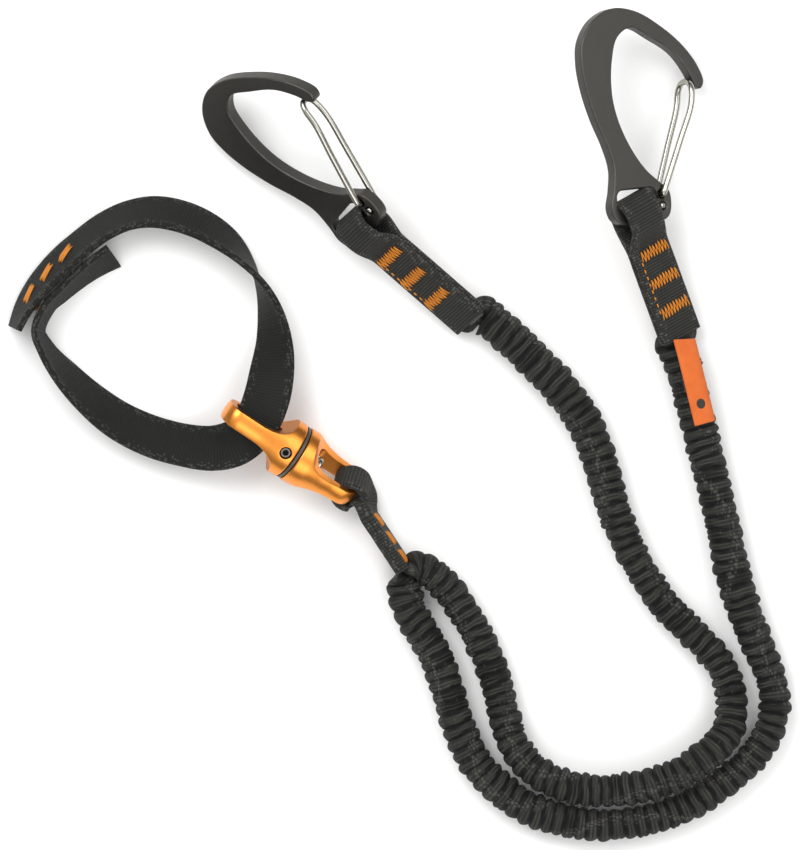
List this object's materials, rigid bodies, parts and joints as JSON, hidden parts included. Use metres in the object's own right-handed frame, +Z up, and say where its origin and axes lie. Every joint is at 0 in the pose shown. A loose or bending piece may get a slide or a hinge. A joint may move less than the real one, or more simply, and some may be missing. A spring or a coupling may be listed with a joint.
{
  "type": "double tool leash with swivel",
  "caption": "Double elastic leash: two wire-gate carabiners on ribbed elastic arms that meet at a two-part swivel carrying a webbing loop for a harness.",
  "frame": {"origin": "on the table, under the middle of the box of the rigid and sewn pieces, the elastic arms left out", "axes": "+Z up off the table; +X across the layout from the webbing loop to the carabiner with the label; +Y towards the carabiners"},
  "size_m": [0.261, 0.2767, 0.0377],
  "materials": {
    "grey_anodised": "matte dark grey anodised, slightly glassy on the rounded edges",
    "orange_anodised": "satin orange-gold anodised, machined",
    "polished_steel": "polished stainless wire and fasteners",
    "black_webbing": "flattened tubular polyamide webbing, cross-ribbed weave",
    "ribbed_sleeve": "tubular webbing gathered into rings over a stretched core",
    "orange_thread": "dense satin-stitched thread",
    "orange_label": "folded woven ribbon",
    "natural_latex": "dull latex",
    "black_polymer": "moulded sliding seal",
    "bronze": "plain turned bush"
  },
  "bodies": {
    "tether": {"swivel_tab_webbing": "black_webbing", "swivel_tab_bartack_1": "orange_thread", "swivel_tab_bartack_2": "orange_thread", "swivel_tab_bartack_3": "orange_thread", "left_sleeve": "ribbed_sleeve", "right_sleeve": "ribbed_sleeve", "left_elastic_core": "natural_latex", "right_elastic_core": "natural_latex"},
    "left_tab": {"left_tab_webbing": "black_webbing", "left_tab_bartack_1": "orange_thread", "left_tab_bartack_2": "orange_thread", "left_tab_bartack_3": "orange_thread"},
    "right_tab": {"right_tab_webbing": "black_webbing", "right_tab_bartack_1": "orange_thread", "right_tab_bartack_2": "orange_thread", "right_tab_bartack_3": "orange_thread", "label_tag": "orange_label"},
    "left_carabiner": {"left_carabiner_body": "grey_anodised"},
    "right_carabiner": {"right_carabiner_body": "grey_anodised"},
    "left_gate": {"left_wire_gate": "polished_steel"},
    "right_gate": {"right_wire_gate": "polished_steel"},
    "swivel_fork": {"swivel_fork_half": "orange_anodised", "swivel_seal_ring": "black_polymer", "swivel_axle_bush": "bronze", "swivel_thrust_washer": "polished_steel"},
    "swivel_eye": {"swivel_eye_half": "orange_anodised", "swivel_axle": "polished_steel", "swivel_set_screw": "polished_steel"},
    "harness_loop": {"harness_loop_webbing": "black_webbing", "harness_loop_bartack_1": "orange_thread", "harness_loop_bartack_2": "orange_thread", "harness_loop_bartack_3": "orange_thread"}
  },
  "joints": [
    {"name": "left_arm_stretch", "type": "slide", "parent": "tether", "child": "left_tab", "axis": [-0.7772, 0.6292, 0], "range_m": [0, 0.06], "stiffness_N_per_m": 40, "deforming": ["left_sleeve", "left_elastic_core"]},
    {"name": "right_arm_stretch", "type": "slide", "parent": "tether", "child": "right_tab", "axis": [-0.3159, 0.9488, 0], "range_m": [0, 0.06], "stiffness_N_per_m": 40, "deforming": ["right_sleeve", "right_elastic_core"]},
    {"name": "left_carabiner_swing", "type": "hinge", "parent": "left_tab", "child": "left_carabiner", "pos_m": [0.00149, 0.02512, 0.01458], "axis": [0.475, 0.5238, 0.7071], "range_deg": [-45, 45]},
    {"name": "right_carabiner_swing", "type": "hinge", "parent": "right_tab", "child": "right_carabiner", "pos_m": [0.0917, 0.0288, 0.0209], "axis": [0.8598, 0.104, -0.5], "range_deg": [-40, 40]},
    {"name": "left_gate_open", "type": "hinge", "parent": "left_carabiner", "child": "left_gate", "pos_m": [0.00245, 0.03303, 0.02108], "axis": [-0.475, -0.5238, 0.7071], "range_deg": [0, 20], "stiffness_Nm_per_rad": 0.5, "springref_deg": -11.46},
    {"name": "right_gate_open", "type": "hinge", "parent": "right_carabiner", "child": "right_gate", "pos_m": [0.09906, 0.03432, 0.0163], "axis": [0.4964, 0.0601, 0.866], "range_deg": [0, 20], "stiffness_Nm_per_rad": 0.5, "springref_deg": -11.46},
    {"name": "swivel_fork_swing", "type": "hinge", "parent": "tether", "child": "swivel_fork", "pos_m": [-0.00313, -0.06165, 0.00914], "axis": [-0.1845, -0.6135, 0.7678], "range_deg": [-20, 8]},
    {"name": "swivel_spin", "type": "hinge", "parent": "swivel_fork", "child": "swivel_eye", "pos_m": [-0.0223, -0.0493, 0.0144], "axis": [-0.819, 0.5278, 0.225], "continuous": true},
    {"name": "harness_loop_swing", "type": "hinge", "parent": "swivel_eye", "child": "harness_loop", "pos_m": [-0.03565, -0.0407, 0.01807], "axis": [0.0921, -0.266, 0.9596], "range_deg": [-3, 5]}
  ]
}
